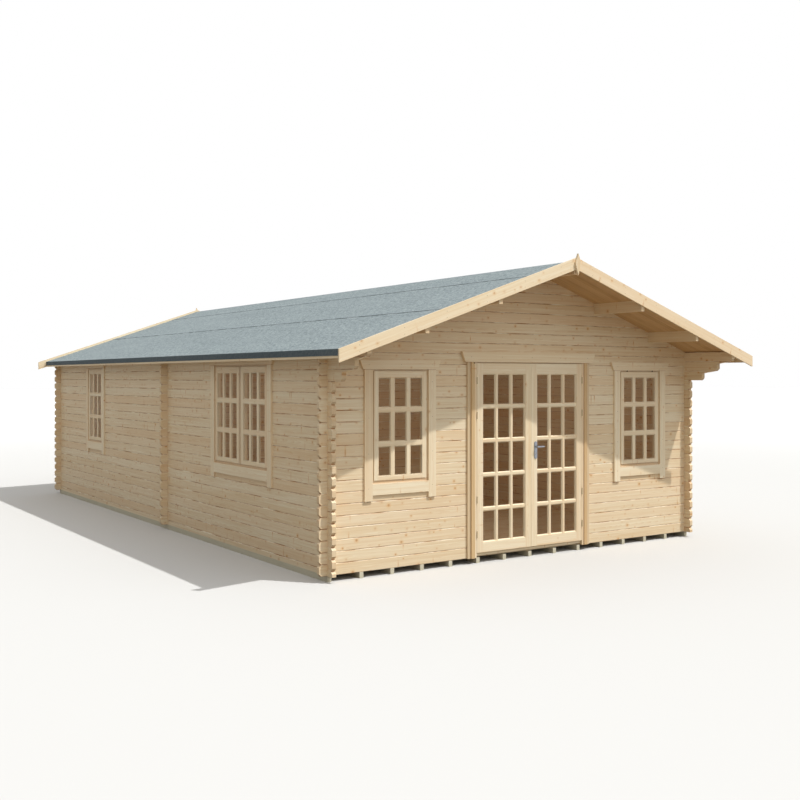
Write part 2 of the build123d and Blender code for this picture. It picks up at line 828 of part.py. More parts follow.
# Windows of the front wall and of the left wall
front_plane = Plane(origin=(0, front_face, 0), x_dir=(1, 0, 0), z_dir=(0, -1, 0))
left_plane = Plane(origin=(-half_width, 0, 0), x_dir=(0, -1, 0), z_dir=(-1, 0, 0))
front_windows = ((-front_window_offset, 1), (front_window_offset, 1))
left_windows = ((-front_face - double_window_place, 2), (-front_face - rear_window_place, 1))
for face, places, sill, wall_name in (
    (front_plane, front_windows, front_sash_bottom, "front"),
    (left_plane, left_windows, side_sash_bottom, "side"),
):
    save(window_frames(face, places, sill), f"{wall_name}_window_frames")
    save(window_glass(face, places, sill), f"{wall_name}_window_glass")
    save(window_casings(face, places, sill), f"{wall_name}_window_casings")
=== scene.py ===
# %% [markdown]
# # A log cabin with a double door
#
# This lesson dresses a log cabin for its picture. The cabin's solids come from a CAD model, packed as a
# fixed frame: walls of notched logs, a pitched roof, a glazed double door and windows. The lesson gives
# them their finishes, adds the small pieces that a joiner fixes last, and sets up the camera and the light.
# Every length is in metres. What is added takes its place from the frame's boxes, so it sits on the solids.

# %% Load the cabin
import math

import bmesh
import bpy
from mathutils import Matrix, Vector


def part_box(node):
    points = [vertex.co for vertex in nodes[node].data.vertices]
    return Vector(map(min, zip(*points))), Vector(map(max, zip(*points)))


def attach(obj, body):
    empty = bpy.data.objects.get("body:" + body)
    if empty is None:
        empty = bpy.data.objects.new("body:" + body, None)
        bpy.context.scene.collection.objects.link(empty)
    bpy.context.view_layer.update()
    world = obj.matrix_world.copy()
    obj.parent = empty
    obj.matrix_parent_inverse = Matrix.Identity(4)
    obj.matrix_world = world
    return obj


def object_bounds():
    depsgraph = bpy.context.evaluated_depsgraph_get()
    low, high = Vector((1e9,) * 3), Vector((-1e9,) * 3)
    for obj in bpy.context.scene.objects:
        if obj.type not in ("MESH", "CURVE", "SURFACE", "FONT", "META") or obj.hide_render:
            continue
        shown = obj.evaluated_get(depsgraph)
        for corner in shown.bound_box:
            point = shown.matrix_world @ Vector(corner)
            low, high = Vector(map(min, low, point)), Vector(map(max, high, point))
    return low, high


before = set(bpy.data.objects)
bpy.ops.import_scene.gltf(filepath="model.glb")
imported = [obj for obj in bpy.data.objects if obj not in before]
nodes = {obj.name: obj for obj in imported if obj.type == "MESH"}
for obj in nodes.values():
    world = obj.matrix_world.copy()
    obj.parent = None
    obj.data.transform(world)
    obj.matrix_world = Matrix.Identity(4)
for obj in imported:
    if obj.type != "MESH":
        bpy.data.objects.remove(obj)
cad_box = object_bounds()
scene = bpy.context.scene
print("Nodes:", len(nodes), "Size:", [round(c, 3) for c in cad_box[1] - cad_box[0]])

# %% [markdown]
# ## Camera
# The picture is taken at eye height, from the left of the door. The camera looks level, so upright lines
# stay upright, and the small shift lowers the frame a little instead of tilting the camera.

# %% Set up the camera
eye_height = 1.950
turn_to_right = 33.95
camera_data = bpy.data.cameras.new("camera")
camera_data.sensor_width = 36.0
camera_data.lens = 45.9
camera_data.shift_y = -0.029
camera_data.clip_end = 300.0
camera = bpy.data.objects.new("camera", camera_data)
camera.location = (-7.356, -12.633, eye_height)
camera.rotation_euler = (math.radians(90.0), 0.0, math.radians(-turn_to_right))
scene.collection.objects.link(camera)
scene.camera = camera
print("Camera stands at", tuple(round(c, 2) for c in camera.location))

# %% [markdown]
# ## Light
# Plain daylight has three parts: a sun that gives the roof's shadow on the front wall, the bright part of
# the sky before the front wall, and an even sky that fills the shade. The even sky is dimmer for the cabin
# than for the camera, which sees plain white behind it. A sun lamp with a wide angle does for the bright sky.

# %% Set up the sun and the sky
towards_sun = Vector((0.345, -0.425, 0.837))
towards_bright_sky = Vector((0.30, -0.84, 0.45))
for name, direction, energy, angle, tint in (
    ("sun", towards_sun, 2.70, 0.8, (1.0, 1.0, 1.0)),
    ("bright_sky", towards_bright_sky, 0.80, 90.0, (0.92, 0.96, 1.0)),
):
    sun_data = bpy.data.lights.new(name, "SUN")
    sun_data.energy = energy
    sun_data.color = tint
    sun_data.angle = math.radians(angle)
    sun = bpy.data.objects.new(name, sun_data)
    sun.rotation_euler = direction.to_track_quat("Z", "Y").to_euler()
    scene.collection.objects.link(sun)

world = bpy.data.worlds.new("sky")
world.use_nodes = True
scene.world = world
scene.view_settings.view_transform = "Standard"
print("Sun height above the ground, degrees:", round(math.degrees(math.asin(towards_sun.z))))

# %% [markdown]
# Daylight that comes in through small panes bounces from timber to timber many times. One wide, weak lamp
# high in the front of each room stands in for those bounces. It faces away from the windows, so that only
# the timber it lights is seen through them.

# %% Set up the room light
lamp_from_wall = 0.30
lamp_height = 2.42
front_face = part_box("front_gable")[0].y
partition_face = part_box("partition_gable")[0].y
for name, wall_face, energy in (
    ("front_room_light", front_face, 15.0),
    ("back_room_light", partition_face, 18.0),
):
    place = wall_face + lamp_from_wall
    lamp_data = bpy.data.lights.new(name, "AREA")
    lamp_data.shape = "RECTANGLE"
    lamp_data.size = 2.4
    lamp_data.size_y = 0.3
    lamp_data.energy = energy
    lamp = bpy.data.objects.new(name, lamp_data)
    lamp.location = (0.0, place, lamp_height)
    lamp.rotation_euler = (math.radians(75.0), 0.0, 0.0)
    lamp.visible_camera = False
    lamp.visible_glossy = False
    scene.collection.objects.link(lamp)
    print(name, "stands", round(place - front_face, 2), "m behind the front wall's face")

# %% [markdown]
# ## Shader sums as Python
# A finish is a sum of simple patterns. Wrapping a node's socket in a small class lets those sums be written
# as plain expressions: `1 - mask * 0.5` adds the Math nodes for it. Colours and places go through Mix and
# Vector Math nodes, because a Math node turns a colour grey.


# %% The class for shader values
class Value:
    """A socket of a material, used in an expression as a number is."""

    def __init__(self, tree, socket):
        self.tree = tree
        self.socket = socket

    def node(self, kind, settings, sockets, output=0):
        """Adds a node: its settings first, then its sockets' values or links. Returns one of its outputs."""
        made = self.tree.nodes.new("ShaderNode" + kind)
        for setting, value in settings.items():
            setattr(made, setting, value)
        for name, value in sockets.items():
            if isinstance(value, Value):
                self.tree.links.new(value.socket, made.inputs[name])
            else:
                made.inputs[name].default_value = value
        return Value(self.tree, made.outputs[output])

    def sum(self, operation, *others):
        return self.node("Math", {"operation": operation}, dict(enumerate(others)))

    def __add__(self, other):
        return self.sum("ADD", self, other)

    def __radd__(self, other):
        return self.sum("ADD", other, self)

    def __sub__(self, other):
        return self.sum("SUBTRACT", self, other)

    def __rsub__(self, other):
        return self.sum("SUBTRACT", other, self)

    def __mul__(self, other):
        return self.sum("MULTIPLY", self, other)

    def __rmul__(self, other):
        return self.sum("MULTIPLY", other, self)

    def __truediv__(self, other):
        return self.sum("DIVIDE", self, other)

    def __pow__(self, other):
        return self.sum("POWER", self, other)

    def __abs__(self):
        return self.sum("ABSOLUTE", self)

    def __floor__(self):
        return self.sum("FLOOR", self)

    def fraction(self):
        return self.sum("FRACT", self)

    def least(self, other):
        return self.sum("MINIMUM", self, other)

    def most(self, other):
        return self.sum("MAXIMUM", self, other)

    def over(self, limit):
        return self.sum("GREATER_THAN", self, limit)

    def between(self, low, high):
        """1 between two places, and 0 outside them."""
        return self.over(low) - self.over(high)

    def step(self, low, high):
        """Rises smoothly from 0 at low to 1 at high, or falls where high is the smaller."""
        limits = {"Value": self, "From Min": low, "From Max": high}
        return self.node("MapRange", {"interpolation_type": "SMOOTHSTEP"}, limits)

    def blend(self, other, factor):
        """This value where factor is 0, and the other where it is 1."""
        return self + (other - self) * factor

    def parts(self):
        """The three numbers of a place or a direction."""
        return [self.node("SeparateXYZ", {}, {"Vector": self}, axis) for axis in range(3)]

    def place(self, x, y, z):
        return self.node("CombineXYZ", {}, {"X": x, "Y": y, "Z": z})

    def noise(self, x, y, z, detail=2.0, roughness=0.5):
        """Cloudy noise round 0.5, one cloud a unit wide."""
        sockets = {"Vector": self.place(x, y, z), "Scale": 1.0, "Detail": detail, "Roughness": roughness}
        return self.node("TexNoise", {}, sockets)

    def chance(self, seed):
        """A random number from 0 to 1 for this whole number, another for each seed."""
        return self.node("TexWhiteNoise", {"noise_dimensions": "2D"}, {"Vector": self.place(self, seed, 0.0)})

    def paint(self, first, second):
        """Mixes two colours by this value."""
        return self.node("Mix", {"data_type": "RGBA"}, {0: self, 6: first, 7: second}, 2)


def clamped(value):
    """The value, but never under 0 or over 1."""
    return value.most(0.0).least(1.0)


def opaque(colour):
    """An sRGB colour from 0 to 255 as the linear colour with alpha that a socket takes."""
    return (*[(c / 255 / 12.92) if c <= 10 else ((c / 255 + 0.055) / 1.055) ** 2.4 for c in colour], 1.0)


def new_finish(name):
    """A material with its shader, and a value to start its sums from."""
    material = bpy.data.materials.new(name)
    material.use_nodes = True
    shader = material.node_tree.nodes["Principled BSDF"]
    return material, shader, Value(material.node_tree, None)


def connect(value, shader, socket):
    value.tree.links.new(value.socket, shader.inputs[socket])


def dress(material, *names):
    """Gives CAD nodes a finish."""
    for name in names:
        for slot in nodes[name].material_slots:
            slot.material = material
    print(material.name, "on", len(names), "nodes")


print("A mid grey of 128 is", round(opaque((128, 128, 128))[0], 3), "in light")

# %% [markdown]
# The sky's strength is the first such sum. Light Path tells what a ray is for: the camera, a mirror image
# in the glass and a view through the glass see white, and every other ray brings the dimmer fill. Trees hide
# the low sky round a garden, so the fill grows with the height of the ray, and it is dark under the eaves.


# %% Join the sky to its background
def seen_directly(start):
    """1 for rays that show the background itself, 0 for rays that bring light."""
    camera_ray, glossy_ray, transmission_ray = [
        start.node("LightPath", {}, {}, f"Is {ray} Ray") for ray in ("Camera", "Glossy", "Transmission")]
    return camera_ray.most(glossy_ray).most(transmission_ray)


low_sky_fill = 0.24
high_sky_fill = 0.84
sky = Value(world.node_tree, None)
background = world.node_tree.nodes["Background"]
background.inputs["Color"].default_value = (1.0, 1.0, 1.0, 1.0)
ray_height = sky.node("TexCoord", {}, {}, 0).parts()[2].most(0.0)
fill = ray_height * (high_sky_fill - low_sky_fill) + low_sky_fill
connect(fill.blend(1.0, seen_directly(sky)), background, "Strength")

# %% [markdown]
# ## Timber
# Spruce is pale, with honey lines where each year's late wood is cut. Thinking of the tree gives the right
# lines on every face at once: rings round a centre line, the pith, that runs near the board and drifts a
# little. Faces along the grain cut them into long lines, and sawn ends cut them into arcs.

# %% Growth rings and fibre
ring_gap = 0.0048
fibre_width = 0.0045
figure_width = 0.022
pith_depth = (0.012, 0.075)


def growth_rings(run, across, depth, board):
    """Late wood from 0 to 1, from places along, across and into a board in metres."""
    drift = run.noise(run * 0.55 + board * 7.1, board * 3.3, 0.0, 1.0)
    low, high = pith_depth
    pith = low + (high - low) * board.chance(1.0) + (drift - 0.5) * 0.10
    sideways = across + (board.chance(2.0) - 0.5) * 0.07
    inward = depth + pith
    wobble = run.noise(run * 4.0, across * 30.0, depth * 30.0, 1.0) * 0.008
    radius = (sideways * sideways + inward * inward) ** 0.5 + wobble
    return (radius / ring_gap).fraction() ** 2.2


def fibre(run, across, depth, board):
    """Fine streaks along the grain, round 0.5."""
    return run.noise(run * 2.6 + board * 5.7, across / fibre_width, depth / fibre_width, 3.0, 0.65)


def figure(run, across, depth, board):
    """Broad flames of the grain, round 0.5."""
    return run.noise(
        run * 0.9 + board * 9.4, across / figure_width + board * 2.0, depth / figure_width, 3.0, 0.6)


# %% [markdown]
# A knot is where a branch left the trunk. Cut across it is a round spot, and cut along it is a narrow
# streak over the width of the log. One Voronoi cell for each stretch of log places a knot, and random
# numbers give it its size and its strength: most are faint, and a few are dark.

# %% Knots
knot_stretch = 0.085
knot_share = 0.62


def knots(run, across, board, width):
    """A mask of knots, and one of the wood that bends round them. Across is 0 in the middle of the board."""
    cell = run.place(run / knot_stretch + board * 11.3, board * 1.7 + across / width * 0.5, 0.0)
    cells = {"voronoi_dimensions": "2D", "feature": "F1"}
    spot, luck = [
        run.node("TexVoronoi", cells, {"Vector": cell, "Scale": 1.0, "Randomness": 1.0}, output)
        for output in ("Position", "Color")]
    spot_run, spot_across, _ = spot.parts()
    cell_run, cell_across, _ = cell.parts()
    along = (cell_run - spot_run) * knot_stretch
    aside = (cell_across - spot_across) * (2.0 * width)
    present, shape, size = luck.parts()
    is_spike = shape.over(0.86)
    half_run = (0.0060 + size * 0.0080).blend(0.0034 + size * 0.0024, is_spike)
    half_across = (0.0050 + size * 0.0070).blend(0.014 + size * 0.026, is_spike)
    reach = ((along / half_run) ** 2.0 + (aside / half_across) ** 2.0) ** 0.5
    strength = present.over(1.0 - knot_share) * (0.30 + 0.70 * (shape * 7.3).fraction() ** 2.0)
    core = reach.step(1.30, 0.55) * strength
    around = reach.step(3.2, 0.8) * strength
    return core, around


# %% [markdown]
# All timber goes through one function. It mixes a pale and a honey tone by the rings and the fibre, gives
# each log or board its own tone, and darkens the joints between them in patches. Between those patches it
# paints light into the joint grooves, so that their shade is softer. It turns the same patterns into a
# shallow relief. A sawn end drinks more light than a planed face, so ends are a shade browner. Each board
# has a number that picks its pattern. Every wall starts from a number of its own, so no two share a board.

# %% The timber function
spruce = (opaque((244, 228, 197)), opaque((222, 189, 141)))
planed_spruce = (opaque((249, 234, 204)), opaque((232, 203, 158)))
# Darker spruce tones for the roof boards: painted shade under the eaves.
soffit_painted_shade_spruce = (opaque((208, 168, 116)), opaque((172, 128, 78)))
casing_spruce = (opaque((222, 190, 142)), opaque((196, 160, 110)))
casing_edge_tone = opaque((220, 197, 162))
ruddy_spruce = opaque((228, 188, 142))
knot_brown = opaque((184, 116, 62))
resin_tone = opaque((228, 184, 124))
end_brown = opaque((214, 180, 138))
# Brown of the joints, and of the painted shadow strips under the lintels and beside the door casings.
joint_and_shadow_brown = opaque((176, 120, 70))
joint_painted_light = opaque((255, 246, 224))


def timber(
        shader, run, across, depth, board, width, joint, endwise,
        tones=spruce, knot_tone=1.0, joint_tone=1.0):
    """Joins a timber finish to a shader, and returns its colour so that it can be painted over.

    Joint is the distance to the nearest joint, across starts mid-board, and endwise is 1 on sawn ends.
    """
    core, around = knots(run, across, board, width)
    bent = across + around * 0.004
    rings = growth_rings(run, bent, depth, board)
    streaks = fibre(run, bent, depth, board)
    flames = figure(run, bent, depth, board)
    clouds = run.noise(run * 0.8 + board * 3.1, across * 9.0, depth * 9.0, 2.0)
    share = rings * 0.34 + (streaks - 0.5) * 0.7 + (flames - 0.5) * 1.4 + (clouds - 0.5) * 0.5
    share = clamped(share + (board.chance(4.0) - 0.5) * 0.26 + around * 0.10 + 0.26)
    colour = share.paint(*tones)
    tone = board.chance(3.0)
    colour = (tone * tone * 0.36).paint(colour, ruddy_spruce)
    colour = (endwise * 0.30).paint(colour, end_brown)
    colour = (around * (0.55 * knot_tone)).paint(colour, resin_tone)
    colour = (core * (0.62 * knot_tone)).paint(colour, knot_brown)
    # Along the joints, the brown patches are the joints' own dark, and the pale between them is painted light
    # that softens the grooves' shade.
    patchy = run.noise(run * 3.2, board * 2.0, 0.0, 3.0, 0.6).step(0.40, 0.60).most(endwise.over(0.01))
    gap = joint.step(0.0062, 0.0022)
    colour = (gap * (0.90 * joint_tone)).paint(colour, patchy.paint(joint_painted_light, joint_and_shadow_brown))
    gap = gap * patchy
    connect(colour, shader, "Base Color")
    connect(0.50 + streaks * 0.22 + endwise * 0.15 + gap * 0.1, shader, "Roughness")
    relief = streaks * 0.35 + rings * 0.25 + flames * 0.3 - gap * (2.5 * joint_tone) - core * 0.4
    bump = run.node("Bump", {}, {"Strength": 0.5, "Distance": 0.0008, "Height": relief})
    connect(bump, shader, "Normal")
    shader.inputs["Specular IOR Level"].default_value = 0.35
    return colour


def repaint(shader, colour, mask, brown):
    """Paints a shadowed strip over a finish."""
    connect(mask.paint(colour, brown), shader, "Base Color")


def solid_place(start):
    """The place and the direction of the surface in the cabin's own axes."""
    x, y, z = start.node("TexCoord", {}, {}, 3).parts()
    facing = [abs(c) for c in start.node("TexCoord", {}, {}, 1).parts()]
    return (x, y, z), facing


def sawn_end(facing_run):
    """1 where the surface looks along the grain, so that a saw cut it."""
    return facing_run.step(0.6, 0.9)


def far_from_joints(place):
    """A distance to the next joint that is too great for it to show."""
    return abs(place) + 1.0


def courses(across, first, pitch):
    """Number of the log or board, the place across it from its middle, and the distance to its joints."""
    counted = (across - first) / pitch
    number = math.floor(counted)
    inside = counted - number
    return number, (inside - 0.5) * pitch, inside.least(1.0 - inside) * pitch


knot_every = round(2 * knot_stretch / knot_share, 2)
print("Rings are", ring_gap * 1000, "mm apart; a knot about every", knot_every, "m of log")

# %% [markdown]
# ### Wall logs
# The logs of the front wall, the partition and the back wall lie on the bearers. Those of the side walls
# start half a log higher, because the logs are notched into each other at the corners. Each wall has its
# own finish, since the rings depend on how deep a point lies behind its face. The log ends are bevelled, and
# the bevels that look down get painted shade.

# %% Finish the log walls
log_course = 0.112
# Painted shade for the bevels that look down under the log ends.
end_shade = opaque((158, 112, 72))


def painted_bevel_shade(start, facing_run):
    """1 on the bevels under the log ends, where shade is painted on as a darker tone."""
    downward = start.node("TexCoord", {}, {}, 1).parts()[2] * -1.0
    return downward.step(0.3, 0.6) * facing_run.step(0.2, 0.5) * 0.3


bearer_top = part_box("bearers")[1].z
back_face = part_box("back_wall")[1].y
side_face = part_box("left_wall")[0].x

cross_walls = (
    ("front_logs", front_face, ("front_wall_left", "front_wall_right", "front_gable")),
    ("partition_logs", partition_face, ("partition_left", "partition_right", "partition_gable")),
    ("back_logs", back_face, ("back_wall",)),
)
for number, (name, face, members) in enumerate(cross_walls):
    material, shader, start = new_finish(name)
    (x, y, z), facing = solid_place(start)
    board, middle, joint = courses(z, bearer_top, log_course)
    colour = timber(
        shader, x, middle, abs(y - face), board + 40.0 * number, log_course, joint, sawn_end(facing[0]))
    repaint(shader, colour, painted_bevel_shade(start, facing[0]), end_shade)
    dress(material, *members)

long_walls = (
    ("left_logs", side_face, ("left_wall", "left_wall_head")),
    ("right_logs", -side_face, ("right_wall", "right_wall_head")),
)
for number, (name, face, members) in enumerate(long_walls):
    material, shader, start = new_finish(name)
    (x, y, z), facing = solid_place(start)
    board, middle, joint = courses(z, bearer_top + log_course / 2, log_course)
    colour = timber(
        shader, y, middle, abs(x - face), board + 150.0 + 40.0 * number, log_course, joint,
        sawn_end(facing[1]))
    repaint(shader, colour, painted_bevel_shade(start, facing[1]), end_shade)
    dress(material, *members)

# %% [markdown]
# ### Purlins, boards and floor
# The purlins and the eaves boards run from front to back. The roof boards run down the slope in tight
# tongue and groove, and they take a darker, warmer spruce tone that paints in the shade under the eaves.
# The floor boards run from side to side over the bearers.

# %% Finish the roof timber and the floor
roof_pitch = math.radians(19.1)
slope_cos, slope_sin = math.cos(roof_pitch), math.sin(roof_pitch)
roof_board_width = 0.096
floor_board_width = 0.113
floor_underside = 0.06
beam_width = 0.3
purlin_pitch = 0.4
purlin_middle = 0.05
eaves_board_place = 2.7
eaves_board_height = 2.16
ridge_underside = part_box("roof_boards_left")[1].z

material, shader, start = new_finish("purlin_timber")
(x, y, z), facing = solid_place(start)
number = math.floor(x / purlin_pitch + 0.5)
timber(
    shader, y, z - purlin_middle, x - number * purlin_pitch, number + 300.0, beam_width, far_from_joints(z),
    sawn_end(facing[1]))
dress(material, "purlins")

material, shader, start = new_finish("eaves_timber")
(x, y, z), facing = solid_place(start)
timber(
    shader, y, z - eaves_board_height, abs(x) - eaves_board_place, x.over(0.0) + 310.0, beam_width,
    far_from_joints(z), sawn_end(facing[1]))
dress(material, "eaves_boards")

material, shader, start = new_finish("roof_board_timber")
(x, y, z), facing = solid_place(start)
down_slope = abs(x) * slope_cos - z * slope_sin
into_slope = z * slope_cos + abs(x) * slope_sin - ridge_underside * slope_cos
board, middle, joint = courses(y, cad_box[0].y, roof_board_width)
board = board + 400.0 + 150.0 * x.over(0.0)
# The roof boards' darker tones are painted shade for their underside under the eaves.
timber(
    shader, down_slope, middle, abs(into_slope), board, roof_board_width, joint, facing[0].step(0.8, 0.95),
    tones=soffit_painted_shade_spruce, knot_tone=0.6, joint_tone=0.12)
dress(material, "roof_boards_left", "roof_boards_right")

material, shader, start = new_finish("floor_board_timber")
(x, y, z), facing = solid_place(start)
board, middle, joint = courses(y, front_face, floor_board_width)
timber(shader, x, middle, z - floor_underside, board + 700.0, floor_board_width, joint, sawn_end(facing[0]))
dress(material, "floor")

# %% [markdown]
# ### Barge boards and finials
# A barge board covers the ends of the roof boards, and its grain follows the slope. The finial is a short
# board with upright grain over the joint at the top.

# %% Finish the barge boards and the finials
member_width = 0.25
gable_place = 5.0
barge_height = 2.9
barge_width = 0.12
for name, members, lean in (
    ("left_barge_timber", ("front_barge_left", "rear_barge_left"), 1.0),
    ("right_barge_timber", ("front_barge_right", "rear_barge_right"), -1.0),
):
    material, shader, start = new_finish(name)
    (x, y, z), facing = solid_place(start)
    up_slope = x * (lean * slope_cos) + z * slope_sin
    over_slope = z * slope_cos - x * (lean * slope_sin) - barge_height
    board = y.over(0.0) + (500.0 + 10.0 * lean)
    timber(
        shader, up_slope, over_slope, abs(y) - gable_place, board, barge_width, far_from_joints(z),
        (facing[0] + facing[2]).step(5.0, 6.0), tones=planed_spruce, knot_tone=0.75)
    dress(material, *members)

material, shader, start = new_finish("finial_timber")
(x, y, z), facing = solid_place(start)
timber(
    shader, z, x, abs(y) - gable_place, y.over(0.0) + 520.0, member_width, far_from_joints(z),
    sawn_end(facing[2]))
dress(material, "finials")

# %% [markdown]
# ### Where the glass is
# A sheet of glass is held in a rebate, so the opening inside stiles and rails is a little smaller than the
# sheet. The openings tell each joinery finish where its members lie.

# %% Measure the glazed openings
sash_stile = 0.049
pane_columns = 3
door_rows, sash_rows = 5, 3
door_bar = 0.026
sash_bar = 0.044
glass_bite = 0.009


def glazed_field(sheet_low, sheet_high):
    """Lowest and highest place of the field inside the stiles and rails, from a sheet's ends."""
    return sheet_low + glass_bite, sheet_high - glass_bite


def pane_size(low, high, count, bar):
    """Size of one pane where a field has this many, with bars between them."""
    return (high - low - (count - 1) * bar) / count


sash_width = 0.622
sash_field = sash_width - 2 * sash_stile
sash_pitch = 0.694
sash_rails = (0.040, 0.064)
sash_proud = 0.010
sash_gap = 0.004
front_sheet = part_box("front_window_glass")
side_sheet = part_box("side_window_glass")
front_low, front_high = glazed_field(front_sheet[0].x, front_sheet[1].x)
front_fields = [(front_low, front_low + sash_field), (front_high - sash_field, front_high)]
side_low, side_high = glazed_field(side_sheet[0].y, side_sheet[1].y)
side_fields = [
    (side_low, side_low + sash_field),
    (side_low + sash_pitch, side_low + sash_pitch + sash_field),
    (side_high - sash_field, side_high),
]
side_windows = [(side_fields[0][0], side_fields[1][1]), side_fields[2]]
print("Glazed openings in the left wall:", [[round(place, 3) for place in field] for field in side_fields])

# %% [markdown]
# ### Door frame, casings and window casings
# In joinery the long way of each member is the way of its grain: jambs and legs stand, lintels and sill
# boards lie. Where two members of one node meet, a mask on their places turns the grain. Under each lintel
# a thin strip lies in its shadow, and that shadow is painted on in brown. So is a strip of the jamb beside
# each door casing.

# %% Finish the frames and the casings
casing_inner_width = 0.045
frame_middle = 0.82
head_middle = 2.12
frame_depth = 0.1
hairline = 0.0002
lintel_shadow = 0.006
shadow_rim = 0.001
lintel_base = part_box("door_lintel")[0].z
for hand, first in (("left", 530.0), ("right", 540.0)):
    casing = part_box(f"door_casing_{hand}")
    casing_start = min(abs(casing[0].x), abs(casing[1].x))
    for name, member, tones, knot_tone in (
        (f"{hand}_jamb_timber", f"door_jamb_{hand}", planed_spruce, 0.5),
        (f"{hand}_casing_timber", f"door_casing_{hand}", casing_spruce, 0.7),
    ):
        material, shader, start = new_finish(name)
        (x, y, z), facing = solid_place(start)
        outer = abs(x).over(casing_start + casing_inner_width + hairline)
        colour = timber(
            shader, z, abs(x) - frame_middle, y - front_face + frame_depth, outer + first, member_width,
            far_from_joints(z), sawn_end(facing[2]), tones=tones, knot_tone=knot_tone)
        colour = (outer * 0.75).paint(colour, casing_edge_tone)
        # Painted shadow: a brown strip under the lintel, and one on the jamb beside the casing.
        shaded = z.step(lintel_base - lintel_shadow, lintel_base - shadow_rim)
        shaded = shaded.most(abs(x).between(casing_start - lintel_shadow, casing_start + hairline))
        repaint(shader, colour, shaded * 0.5, joint_and_shadow_brown)
        dress(material, member)

material, shader, start = new_finish("door_head_timber")
(x, y, z), facing = solid_place(start)
board = z.over(1.0) * 2.0 + z.over(lintel_base) + 550.0
colour = timber(
    shader, x, z - head_middle, y - front_face + frame_depth, board, member_width, far_from_joints(z),
    sawn_end(facing[0]), tones=planed_spruce, knot_tone=0.6)
# Painted shadow under the door lintel.
below_lintel = z.step(lintel_base - lintel_shadow, lintel_base - shadow_rim)
below_lintel = below_lintel * (1.0 - z.over(lintel_base + 0.0005))
repaint(shader, colour, below_lintel * 0.8, joint_and_shadow_brown)
dress(material, "door_head", "door_threshold", "door_lintel")

casing_lintel = 0.092
casing_band = 0.2
leg_spacing = 0.6
trim_gap = 0.023
for name, node, depth_axis, windows, sheet in (
    ("front_casing_timber", "front_window_casings", 1, front_fields, front_sheet),
    ("side_casing_timber", "side_window_casings", 0, side_windows, side_sheet),
):
    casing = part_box(node)
    material, shader, start = new_finish(name)
    place, facing = solid_place(start)
    z = place[2]
    level = place[1 - depth_axis]
    into = place[depth_axis] - casing[0][depth_axis]
    base = casing[1].z - casing_lintel
    lintel = z.over(base)
    reach = sash_stile + trim_gap
    beside_legs = sum(level.between(low - reach, high + reach) for low, high in windows)
    sill = (z * -1.0).over(-sheet[0].z) * beside_legs
    lying = lintel.most(sill).least(1.0)
    run = z.blend(level, lying)
    across = level.blend(z, lying)
    leg = math.floor(level / leg_spacing) * (1.0 - lying)
    board = leg + lintel * 7.0 + sill * 3.0 + (560.0 + 20.0 * depth_axis)
    endwise = sawn_end(facing[2].blend(facing[1 - depth_axis], lying))
    side = across - math.floor(across / casing_band) * casing_band - casing_band / 2
    colour = timber(
        shader, run, side, into, board, member_width, far_from_joints(z), endwise, tones=planed_spruce,
        knot_tone=0.7)
    # Painted shadow under the window lintel.
    below = z.step(base - lintel_shadow, base - shadow_rim) * (1.0 - lintel)
    repaint(shader, colour, below * 0.75, joint_and_shadow_brown)
    dress(material, node)

# %% [markdown]
# ### Door leaves and window sashes
# A leaf has upright stiles at its sides, with the rails and the glazing bars between them. A stile's grain
# stands and a rail's lies, and the bars between the panes follow suit. A very fine line shows where stile
# and rail meet. The frame round a sash lies deeper and in shade, and that shade is painted on as brown,
# darker under the sash.

# %% Timber of glazed frames
joinery_band = 0.13


def joinery(shader, level, z, into, facing_level, facing_up, fields, rails, rows, bar, first):
    """Timber of a glazed frame. Fields are its glazed stretches along level, rails their foot and head."""
    pane_height = pane_size(*rails, rows, bar)
    nothing = level * 0.0
    beside_pane, glazed, bar_number, bar_side, meeting = nothing, nothing, nothing, nothing, nothing + 1.0
    for row in range(rows):
        foot = rails[0] + row * (pane_height + bar)
        beside_pane = beside_pane + z.between(foot, foot + pane_height)
    for low, high in fields:
        stretch = level.between(low, high)
        pitch = (high - low + bar) / pane_columns
        number = math.floor((level - low + bar / 2) / pitch + 0.5)
        glazed = glazed + stretch
        bar_number = bar_number + stretch * (number + low * 7.0)
        bar_side = bar_side + stretch * (level - low + bar / 2 - number * pitch)
        meeting = meeting.least(abs(level - low)).least(abs(level - high))
    upright_bar = glazed * beside_pane
    lying = glazed - upright_bar
    run = z.blend(level, lying)
    across = level.blend(z, lying)
    band = math.floor(across / joinery_band)
    board = band.blend(bar_number, upright_bar) + lying * 23.0 + first
    side = (across - band * joinery_band - joinery_band / 2).blend(bar_side, upright_bar)
    endwise = facing_up.blend(facing_level, lying).step(0.7, 0.95) * 0.3 * (1.0 - upright_bar)
    meeting = meeting + z.between(*rails) * glazed
    return timber(
        shader, run, side, into, board, member_width, meeting + 0.0035, endwise, tones=planed_spruce,
        knot_tone=0.6, joint_tone=0.25)


# %% Finish the door leaves
for hand, first in (("left", 600.0), ("right", 650.0)):
    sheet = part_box(f"{hand}_door_glass")
    field = glazed_field(sheet[0].x, sheet[1].x)
    rails = glazed_field(sheet[0].z, sheet[1].z)
    material, shader, start = new_finish(f"{hand}_leaf_timber")
    (x, y, z), facing = solid_place(start)
    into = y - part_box(f"{hand}_door_leaf")[0].y
    joinery(shader, x, z, into, facing[0], facing[2], [field], rails, door_rows, door_bar, first)
    dress(material, f"{hand}_door_leaf")

